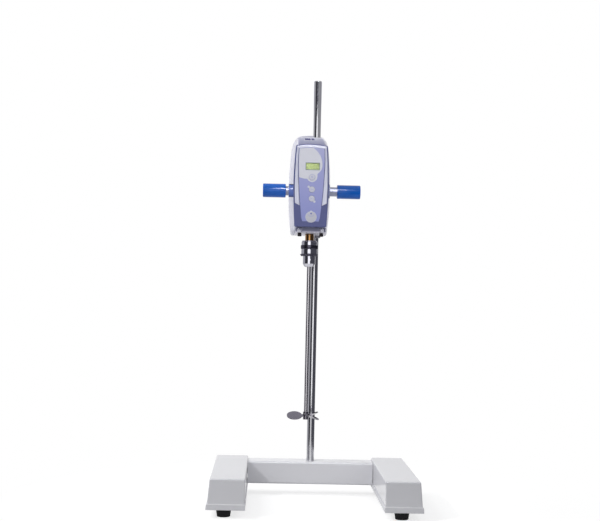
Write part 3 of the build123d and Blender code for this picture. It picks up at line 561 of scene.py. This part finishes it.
M = material_table()
record = frame["record"]
slot_of = {s["node"]: s["material_slot"] for s in record["subparts"]}
for node_name, node_obj in frame["nodes"].items():
    node_obj.data.materials.clear()
    node_obj.data.materials.append(M[slot_of[node_name]])
for node_name, slot in (
    ("left_collar", "collar_plastic"),
    ("right_collar", "collar_painted_highlight"),
    ("front_housing", "housing_plastic"),
    ("crossbar", "bar_painted_light"),
    ("propeller", "blade_steel"),
    ("start_key", "key_plastic_shaded"),
):
    frame["nodes"][node_name].data.materials[0] = M[slot]


# ------------------------------------------------------------------ rod, shaft and turned parts


def dome(r, z, round_r):
    """Profile points of a rounded rim, from the side up to the top."""
    pts = []
    steps = 6
    for k in range(steps + 1):
        a = math.pi / 2 * k / steps
        pts.append((r - round_r + round_r * math.cos(a), z - (round_r - round_r * math.sin(a))))
    return pts


def build_rod():
    """Polished rod with a bevelled foot and a rounded top."""
    low, top = ROD_Z
    foot = [(0, low), (ROD_R - 0.6, low), (ROD_R, low + 0.6)]
    profile = foot + dome(ROD_R, top, 2.2) + [(0, top)]
    rod = lathe_z("rod_detail", profile, 0, ROD_Y, "stand", M["rod_steel"])
    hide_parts("support_rod")


def build_shaft():
    """Plain shaft, bevelled at both ends."""
    low, top = SHAFT_Z
    profile = [(0, low), (SHAFT_R - 0.4, low), (SHAFT_R, low + 0.4), (SHAFT_R, top - 0.8),
               (SHAFT_R - 0.6, top), (0, top)]
    shaft = lathe_z("shaft_detail", profile, HX, SPINDLE_Y, "stirrer", M["shaft_steel"],
                    64)
    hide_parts("stirring_shaft")


def knurl_radius(r, z, k):
    """Fine axial knurl: every second segment of the band is cut back."""
    if 510.9 < z < 517.4 and r > 17:
        return r - (0.32 if k % 2 else 0.0)
    return r


def tooth_radius(r, z, k):
    """Key teeth of the sleeve: three segments of every six are cut back."""
    if r > 16.3 and z < 499.0:
        return r - (1.5 if k % 6 in (0, 1, 2) else 0.0)
    return r


def build_chuck():
    """Chuck sleeve in three turned pieces: polished skirt, knurled band and key teeth."""
    skirt = [(15.0, 500.2), (16.6, 500.2), (16.7, 500.5), (16.7, 510.0), (16.6, 510.25),
             (15.0, 510.25)]
    lower = lathe_z("sleeve_lower", skirt, HX, SPINDLE_Y, "chuck_sleeve", M["chuck_chrome"],
                    120)
    band = [(15.0, 510.3), (17.0, 510.3), (17.35, 510.9), (17.35, 511.2), (17.35, 517.2),
            (17.35, 517.3), (16.9, 517.9), (16.5, 518.1), (15.0, 518.1)]
    lathe_z("sleeve_knurl", band, HX, SPINDLE_Y, "chuck_sleeve", M["knurl_dark"],
            144, knurl_radius, 50)
    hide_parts("chuck_sleeve")
    teeth = [(15.0, 495.6), (16.2, 495.6), (17.2, 496.6), (18.25, 498.2), (18.25, 499.5),
             (17.9, 499.9), (16.7, 500.15), (15.0, 500.15)]
    lathe_z("sleeve_teeth", teeth, HX, SPINDLE_Y, "chuck_sleeve", M["knurl_dark"],
            144, tooth_radius, 30)


# ------------------------------------------------------------------ silver trim and printed film


def half_width(side, z):
    """Half width of a side outline at height z."""
    lo, hi = 0.0, 1.0
    for _ in range(40):
        mid = (lo + hi) / 2
        if catmull(side, mid)[1] < z:
            lo = mid
        else:
            hi = mid
    return catmull(side, lo)[0]


def build_trim():
    """Crowned silver band round the film: two ridges with a fine groove between them."""
    outer_low, outer_high = 598.5, 711.5
    inner_low, inner_high = 593.5, 706.8
    outer, inner = [], []
    steps = 36
    for k in range(steps + 1):
        s = k / steps
        zo = outer_low + (outer_high - outer_low) * s
        zi = inner_low + (inner_high - inner_low) * s
        outer.append((half_width(COVER_SIDE, min(zo, 712.9)) - 2.4, zo))
        inner.append((half_width(PANEL_SIDE, min(zi, 706.9)) + 1.0, zi))

    def wrap(side, rise):
        """Whole outline from half of it: up the left, over an arch, down the right."""
        top_u, top_z = side[-1]
        arch = []
        for k in range(1, 30):
            s = -1 + 2 * k / 30
            arch.append((top_u * s, top_z + rise * (1 - s * s)))
        return [(-u, z) for u, z in side] + arch + list(reversed(side))

    o, i = wrap(outer, 2.6), wrap(inner, 2.2)
    cross = [(0.0, 0.0), (0.04, 0.5), (0.14, 0.85), (0.34, 0.95), (0.46, 0.78), (0.52, 0.55),
             (0.6, 0.78), (0.78, 0.8), (0.93, 0.45), (1.0, 0.0)]
    bm = bmesh.new()
    rows = []
    for (ou, oz), (iu, iz) in zip(o, i):
        row = []
        for s, h in cross:
            u, z = ou + (iu - ou) * s, oz + (iz - oz) * s
            row.append(bm.verts.new(((CX + u) * MM, (FACE_Y + 0.3 - h) * MM, z * MM)))
        row.append(bm.verts.new(((CX + iu) * MM, (FACE_Y + 0.75) * MM, iz * MM)))
        row.append(bm.verts.new(((CX + ou) * MM, (FACE_Y + 0.75) * MM, oz * MM)))
        rows.append(row)
    for a, b in zip(rows, rows[1:]):
        for j in range(len(a)):
            n = (j + 1) % len(a)
            bm.faces.new((a[j], a[n], b[n], b[j]))
    bm.faces.new(rows[0])
    bm.faces.new(list(reversed(rows[-1])))
    bmesh.ops.recalc_face_normals(bm, faces=bm.faces)
    trim = make_object("trim_band", bm, "head", M["silver_plastic"], 60)
    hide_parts("silver_trim")


def build_prints():
    """Grey printed field, key surrounds and display frame on the film."""
    y0, y1 = PANEL_Y, PANEL_Y - PRINT_THICK
    low_z, high_z = 649.5, 705.8
    left = []
    for k in range(24):
        z = low_z + (high_z - low_z) * k / 23
        left.append((-(half_width(PANEL_SIDE, z) - 0.7), z))
    top = [(u, 706.4 + 1.9 * (1 - (u / 25.0) ** 2)) for u in (-23.8, -18, -12, -6, 0, 3.6)]
    right_curve = [(3.6, 708.2), (12.5, 700.0), (19.0, 688.5), (21.4, 676.0), (19.6, 665.0),
                   (11.8, 656.6)]
    arc = [catmull(right_curve, k / 30) for k in range(31)]
    low_curve = [(11.8, 656.6), (12.0, 652.0), (9.9, 644.5), (2.5, 640.4), (-5.2, 642.8),
                 (-8.6, 646.6), (-14.0, 646.9), (-24.1, 649.5)]
    low = [catmull(low_curve, k / 40) for k in range(41)]
    window = [(-11.0, 665.3), (15.6, 665.3), (15.6, 678.1), (-11.0, 678.1)]
    field = left + top + arc[1:] + low[1:-1]
    plate("print_field", field, y0, y1, "head", M["print_grey"],
          [window, circle(1.4, 650.1, 6.7)])
    plate("print_ear_up", circle(-4.9, 631.0, 2.3), y0, y1, "head", M["print_grey"])
    plate("print_ear_down", circle(7.0, 601.8, 2.3), y0, y1, "head", M["print_grey"])
    for u, z in ((-2.6, 628.9), (4.9, 604.2)):
        neck = [(u - 1.9, z - 0.8), (u + 0.6, z - 2.2), (u + 2.0, z + 0.2), (u - 0.6, z + 2.0)]
        plate(f"print_neck_{int(z)}", neck, y0, y1, "head", M["print_grey"])
    start = circle(*KEYS["start_key"], 11.1, 60, -240, 60)
    point = [(2.6, 582.4), (1.3, 583.9), (0.5, 583.9), (-0.8, 582.4)]
    plate("print_start", start + point, y0, y1, "head", M["print_grey"])
    display_rim(1.0, y0 - 0.02, y1 - 0.1)
    digits()


def display_rim(width, y0, y1):
    """Four bars round the display window."""
    (u0, z0), (u1, z1) = DISPLAY_FRAME
    for n, pts in enumerate((
        [(u0, z0), (u1, z0), (u1, z0 + width), (u0, z0 + width)],
        [(u0, z1 - width), (u1, z1 - width), (u1, z1), (u0, z1)],
        [(u0, z0 + width), (u0 + width, z0 + width), (u0 + width, z1 - width), (u0, z1 - width)],
        [(u1 - width, z0 + width), (u1, z0 + width), (u1, z1 - width), (u1 - width, z1 - width)],
    )):
        plate(f"display_rim_{n}", pts, y0, y1, "head", M["print_frame"])


def digits():
    """Four faint zeros behind the display window."""
    y0, y1 = FACE_Y + 1.68, FACE_Y + 1.62
    for n in range(4):
        u, z, w, h, t = -8.6 + 6.1 * n, 667.0, 3.6, 7.6, 0.7
        bars = [
            [(u, z), (u + w, z), (u + w, z + t), (u, z + t)],
            [(u, z + h - t), (u + w, z + h - t), (u + w, z + h), (u, z + h)],
            [(u, z + t), (u + t, z + t), (u + t, z + h - t), (u, z + h - t)],
            [(u + w - t, z + t), (u + w, z + t), (u + w, z + h - t), (u + w - t, z + h - t)],
        ]
        for k, bar in enumerate(bars):
            plate(f"digit_{n}_{k}", bar, y0, y1, "head", M["lcd_digit"])


def build_key_marks():
    """Printed rings, arrows and arcs on the keys, each riding on its own key."""
    y0 = FACE_Y - 0.5
    y1 = y0 - PRINT_THICK
    lilac = M["print_lilac"]
    u, z = KEYS["mode_key"]
    for r in (5.6, 2.6):
        ring_plate(f"mode_ring_{int(r)}", u, z, r - 0.55, r, y0, y1, "mode_key", lilac)
    plate("mode_disc", circle(u, z, 1.1), y0, y1, "mode_key", lilac)
    for key, sign in (("up_key", 1), ("down_key", -1)):
        u, z = KEYS[key]
        ring_plate(f"{key}_ring", u, z, 2.9, 3.4, y0, y1, key, lilac)
        tri = [(u - 1.5, z - 0.9 * sign), (u + 1.5, z - 0.9 * sign), (u, z + 1.5 * sign)]
        plate(f"{key}_arrow", tri[::sign], y0, y1, key, lilac)
    u, z = KEYS["start_key"]
    arcs = (("start_arc", 6.2, 6.8, 200, 340), ("start_arc_low", 4.3, 4.8, 205, 335))
    for name, r_in, r_out, start, end in arcs:
        ring_plate(name, u, z + 7.0, r_in, r_out, y0, y1, "start_key", lilac,
                   start, end)
    plate("start_dot", circle(u, z + 6.6, 1.7), y0, y1, "start_key", M["print_blue"])


# ------------------------------------------------------------------ knobs, feet and screws


def build_knobs():
    """Blue grips with softened rims and a dished end; profile points are (radius, way along)."""
    for name, (inner, outer) in GRIPS.items():
        length = abs(outer - inner)
        way = (outer - inner) / length
        along = [(0, 1.0), (6.0, 1.0), (12.4, 0.0), (13.9, 0.25), (14.5, 1.0), (14.5, length - 1.8),
                 (14.25, length - 0.9), (13.5, length - 0.2), (12.6, length), (9.5, length),
                 (9.0, length - 0.5), (0, length - 0.5)]
        profile = [(r, inner + way * d) for r, d in along]
        grip = lathe_x(f"{name}_grip_detail", profile, ROD_Y, KNOB_Z, f"{name}_knob",
                       M["blue_plastic"])
        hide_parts(f"{name}_knob_grip")


def build_feet():
    """Tapered rubber feet with a groove near the floor and a hole for the screw."""
    profile = [(5.5, 5.6), (5.5, 0.3), (6.0, 0.0), (11.6, 0.0), (12.3, 0.3), (12.6, 1.0),
               (12.9, 3.2), (12.5, 3.6), (12.6, 4.0), (13.1, 4.6), (14.4, 14.2), (14.3, 14.8),
               (14.0, 15.0), (2.3, 15.0), (2.3, 5.6)]
    for end, y in FOOT_Y.items():
        for side, x in FOOT_X.items():
            node = f"foot_{end}_{side}"
            foot = lathe_z(f"{node}_detail", profile, x, y, "stand", M["foot_rubber"],
                           64)
            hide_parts(node)


def build_flange_screws():
    """Socket cap screws under the flange: knurled, bevelled heads with a hexagon socket."""
    top = FLANGE_Z
    segments = 96
    for n, (x, y, r, length) in enumerate(CAP_SCREWS):
        low = top - length

        def knurl(rr, z, k, r=r, low=low):
            if rr > r - 0.05 and low + 0.6 < z < top - 0.1:
                return rr - (0.22 if k % 2 else 0.0)
            if rr < 2.3 and z < low + 3.2:
                step = math.radians(60)
                a = (2 * math.pi * k / segments) % step - step / 2
                return rr * math.cos(step / 2) / math.cos(a)
            return rr

        profile = [(0, low + 3.0), (2.2, low + 3.0), (2.2, low + 0.3), (2.5, low), (r - 0.5, low),
                   (r, low + 0.5), (r, low + 0.7), (r, top - 0.2), (r - 0.1, top), (2.5, top),
                   (2.5, top + 20.0), (0, top + 20.0)]
        mat = M["black_steel"] if n < 2 else M["zinc_steel"]
        screw = lathe_z(f"cap_screw_{n}", profile, x, y, "head", mat, segments,
                        knurl, 40)
        if n == 0:
            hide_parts("flange_screws")


def slope_slot_shades():
    """Short vent slots in the sloping top, left of the rod, as thin dark pieces: painted shade in
    the openings.
    """
    y0, y1 = SLOT_Y
    for n, (x0, width) in enumerate(SLOTS):
        x1 = x0 + width
        bm = bmesh.new()
        rows = []
        for x in (x0, x1):
            for y in (y0, y1):
                z = TOP_Z + TOP_SLOPE * (y - TOP_Y)
                heights = (z - SLOT_SINK, z + SLOT_RISE)
                rows.append([bm.verts.new((x * MM, y * MM, h * MM)) for h in heights])
        a, b, c, d = rows
        for quad in ((a[1], c[1], d[1], b[1]), (a[0], b[0], d[0], c[0]), (a[0], c[0], c[1], a[1]),
                     (b[0], b[1], d[1], d[0]), (a[0], a[1], b[1], b[0]), (c[0], d[0], d[1], c[1])):
            bm.faces.new(quad)
        bmesh.ops.recalc_face_normals(bm, faces=bm.faces)
        make_object(f"top_slot_{n}", bm, "head", M["slot_dark"])


def flange_bosses():
    """Rounded bosses on the flange, one in front of each front cap screw."""
    low, top, r = FLANGE_Z + 0.3, 550.7, 4.75
    for n, x in enumerate(BOSS_X):
        profile = [(0, low), (3.6, low), (r, 542.0), (r, 546.0)] + dome(r, top, 4.6) + [(0, top)]
        lathe_z(f"flange_boss_{n}", profile, x, -5.6, "head", M["boss_alu"], 48)


def notch_lips():
    """White lips of the rear cover above and below the left collar."""
    for n, (z0, z1) in enumerate(((620.6, 621.9), (649.1, 650.4))):
        block(f"notch_lip_{n}", (-58.0, -43.5), (122.1, 123.4), (z0, z1), "head",
              M["white_plastic"])


def lip_highlight_strips():
    """Thin strip along the front of each leg's lip, in a paler paint that is a painted highlight.
    """
    for n, (x0, x1) in enumerate(((-202.4, -130.6), (130.6, 202.4))):
        block(f"lip_highlight_strip_{n}", (x0, x1), (-161.2, -160.0), (25.0, 26.15), "stand",
              M["bead_painted_highlight"])


def block(name, xs, ys, zs, body, mat):
    """Box between two limits on each axis, with its edges broken."""
    edge = 0.15 * MM
    spans = (xs, ys, zs)
    bm = bmesh.new()
    bmesh.ops.create_cube(bm, size=1.0)
    for v in bm.verts:
        v.co = Vector([(lo + hi) / 2 + c * (hi - lo) for c, (lo, hi) in zip(v.co, spans)]) * MM
    bmesh.ops.bevel(bm, geom=bm.edges[:], offset=edge, segments=2, profile=0.5, affect="EDGES")
    return make_object(name, bm, body, mat)


build_flange_screws()
slope_slot_shades()
flange_bosses()
notch_lips()
lip_highlight_strips()
build_rod()
build_shaft()
build_chuck()
build_trim()
build_prints()
build_key_marks()
build_knobs()
build_feet()


# ------------------------------------------------------------------ stage


def seen_rays(tree):
    """1 for camera, mirror and glass rays, 0 for the diffuse light."""
    path = tree.nodes.new("ShaderNodeLightPath")
    top = path.outputs["Is Camera Ray"]
    for name in ("Is Glossy Ray", "Is Transmission Ray"):
        node = tree.nodes.new("ShaderNodeMath")
        node.operation = "MAXIMUM"
        tree.links.new(top, node.inputs[0])
        tree.links.new(path.outputs[name], node.inputs[1])
        top = node.outputs[0]
    return top


def floor_material():
    """Matt floor; where it is seen it is lifted to white, fully so away from the stand."""
    mat = bpy.data.materials.new("m_floor")
    mat.use_nodes = True
    tree = mat.node_tree
    tree.nodes.clear()
    new, join = tree.nodes.new, tree.links.new
    out = new("ShaderNodeOutputMaterial")
    diffuse = new("ShaderNodeBsdfDiffuse")
    diffuse.inputs["Color"].default_value = (0.5, 0.5, 0.5, 1)
    lift = new("ShaderNodeEmission")
    lift.inputs["Strength"].default_value = FLOOR_LIFT
    near = new("ShaderNodeAddShader")
    join(diffuse.outputs[0], near.inputs[0])
    join(lift.outputs[0], near.inputs[1])
    white = new("ShaderNodeEmission")
    white.inputs["Strength"].default_value = 1.0
    coord = new("ShaderNodeTexCoord")
    length = new("ShaderNodeVectorMath")
    length.operation = "LENGTH"
    join(coord.outputs["Object"], length.inputs[0])
    spread = new("ShaderNodeMapRange")
    spread.inputs["From Min"].default_value = FLOOR_FADE[0]
    spread.inputs["From Max"].default_value = FLOOR_FADE[1]
    join(length.outputs["Value"], spread.inputs["Value"])
    seen = new("ShaderNodeMixShader")
    join(spread.outputs["Result"], seen.inputs[0])
    join(near.outputs[0], seen.inputs[1])
    join(white.outputs[0], seen.inputs[2])
    both = new("ShaderNodeMixShader")
    join(seen_rays(tree), both.inputs[0])
    join(diffuse.outputs[0], both.inputs[1])
    join(seen.outputs[0], both.inputs[2])
    join(both.outputs[0], out.inputs["Surface"])
    return mat


def build_world():
    """World that is white where it is seen and a weak fill light elsewhere."""
    world = bpy.data.worlds.new("studio")
    bpy.context.scene.world = world
    world.use_nodes = True
    tree = world.node_tree
    tree.nodes.clear()
    out = tree.nodes.new("ShaderNodeOutputWorld")
    seen = tree.nodes.new("ShaderNodeBackground")
    seen.inputs["Color"].default_value = (1, 1, 1, 1)
    seen.inputs["Strength"].default_value = 1.0
    light = tree.nodes.new("ShaderNodeBackground")
    light.inputs["Color"].default_value = (0.97, 0.98, 1.0, 1)
    light.inputs["Strength"].default_value = WORLD_FILL
    mix = tree.nodes.new("ShaderNodeMixShader")
    tree.links.new(seen_rays(tree), mix.inputs[0])
    tree.links.new(light.outputs[0], mix.inputs[1])
    tree.links.new(seen.outputs[0], mix.inputs[2])
    tree.links.new(mix.outputs[0], out.inputs["Surface"])


def area(name, location, target, size, energy):
    """Soft light for the diffuse part; the cards below are what the polished parts mirror."""
    data = bpy.data.lights.new(name, "AREA")
    data.shape = "RECTANGLE"
    data.size = size
    data.size_y = size
    data.energy = energy
    obj = bpy.data.objects.new(name, data)
    bpy.context.scene.collection.objects.link(obj)
    obj.location = location
    aim = Vector(target) - Vector(location)
    obj.rotation_euler = aim.to_track_quat("-Z", "Y").to_euler()
    obj.visible_glossy = False


def card(name, azimuth, radius, z_low, z_high, level):
    """Curved studio card that only mirrors see.

    Azimuth runs in degrees from the camera's side, negative to its left. Level is the colour the
    card gives off. The radius and the two heights are in metres.
    """
    bm = bmesh.new()
    steps = 24
    rows = []
    for k in range(steps + 1):
        a = math.radians(azimuth[0] + (azimuth[1] - azimuth[0]) * k / steps)
        px, py = radius * math.sin(a), CARD_CENTRE_Y - radius * math.cos(a)
        rows.append((bm.verts.new((px, py, z_low)), bm.verts.new((px, py, z_high))))
    for a, b in zip(rows, rows[1:]):
        bm.faces.new((a[0], b[0], b[1], a[1]))
    mesh = bpy.data.meshes.new(name)
    bm.to_mesh(mesh)
    bm.free()
    obj = bpy.data.objects.new(name, mesh)
    bpy.context.scene.collection.objects.link(obj)
    mat = bpy.data.materials.new("m_" + name)
    mat.use_nodes = True
    tree = mat.node_tree
    tree.nodes.clear()
    out = tree.nodes.new("ShaderNodeOutputMaterial")
    emit = tree.nodes.new("ShaderNodeEmission")
    emit.inputs["Color"].default_value = (*level, 1)
    emit.inputs["Strength"].default_value = 1.0
    tree.links.new(emit.outputs[0], out.inputs["Surface"])
    obj.data.materials.append(mat)
    obj.visible_camera = False
    obj.visible_diffuse = False
    obj.visible_shadow = False
    obj.visible_transmission = False
    obj.visible_volume_scatter = False


def build_stage():
    """Floor, world, soft lights and the cards that the polished parts mirror."""
    bm = bmesh.new()
    h = FLOOR_HALF
    bm.faces.new([bm.verts.new(p) for p in ((-h, -h, 0), (h, -h, 0), (h, h, 0), (-h, h, 0))])
    mesh = bpy.data.meshes.new("floor")
    bm.to_mesh(mesh)
    bm.free()
    floor = bpy.data.objects.new("floor", mesh)
    bpy.context.scene.collection.objects.link(floor)
    floor.location.z = FLOOR_Z
    mesh.materials.append(floor_material())
    build_world()
    area("key", (-2.08, -1.55, 1.98), (0, 0.1, 0.1), 0.1, 21.0)
    area("top", (-1.1, 0.2, 1.6), (-0.1, 0, 0.1), 0.9, 11.0)
    area("right_soft", (2.0, -1.3, 1.3), (0.05, 0.1, 0.6), 1.2, 6.0)
    area("grip_fill", (0.45, -0.03, 0.66), (0.07, 0.13, 0.635), 0.25, 0.8)
    area("front_soft", (-0.8, -2.8, 0.9), (0, 0, 0.4), 1.6, 9.0)
    area("left_soft", (-2.4, 0.9, 0.6), (0, 0.05, 0.5), 1.4, 12.0)
    card("flag_far_left", (-140, -78), 0.72, 0.001, 1.5, (0.55, 0.55, 0.58))
    card("flag_left", (-78, -24), 0.72, 0.001, 1.5, (0.05, 0.05, 0.06))
    card("softbox", (-20, 12), 2.3, 0.05, 1.45, (1.9, 1.9, 1.9))
    card("flag_right_low", (16, 140), 0.72, 0.001, 0.844, (0.10, 0.10, 0.12))
    card("flag_right_high", (16, 140), 0.72, 0.846, 1.5, (0.42, 0.42, 0.44))
    card("strip", (-12, 12), 2.0, 1.84, 2.04, (120.0, 120.0, 124.0))
    card("front_dim", (-60, 60), 2.6, 1.2, 3.4, (0.1, 0.1, 0.13))
    card("back_wall", (120, 240), 1.6, 1.1, 2.2, (0.32, 0.32, 0.46))


def build_camera():
    """Camera from its place, three angles and focal length."""
    yaw, pitch, roll = CAMERA_YAW, CAMERA_PITCH, CAMERA_ROLL
    level = math.cos(pitch)
    forward = Vector((math.sin(yaw) * level, math.cos(yaw) * level, math.sin(pitch)))
    right = Vector((math.cos(yaw), -math.sin(yaw), 0.0))
    up = right.cross(forward)
    r = math.cos(roll) * right + math.sin(roll) * up
    u = -math.sin(roll) * right + math.cos(roll) * up
    data = bpy.data.cameras.new("camera")
    data.sensor_width = SENSOR_WIDTH
    data.lens = CAMERA_FOCAL / VIEW_WIDTH * SENSOR_WIDTH
    data.clip_end = 50.0
    cam = bpy.data.objects.new("camera", data)
    bpy.context.scene.collection.objects.link(cam)
    turn = Matrix((r, u, -forward)).transposed()
    cam.matrix_world = Matrix.Translation(CAMERA_AT) @ turn.to_4x4()
    bpy.context.scene.camera = cam


build_stage()
build_camera()
bpy.context.scene.view_settings.view_transform = "Standard"
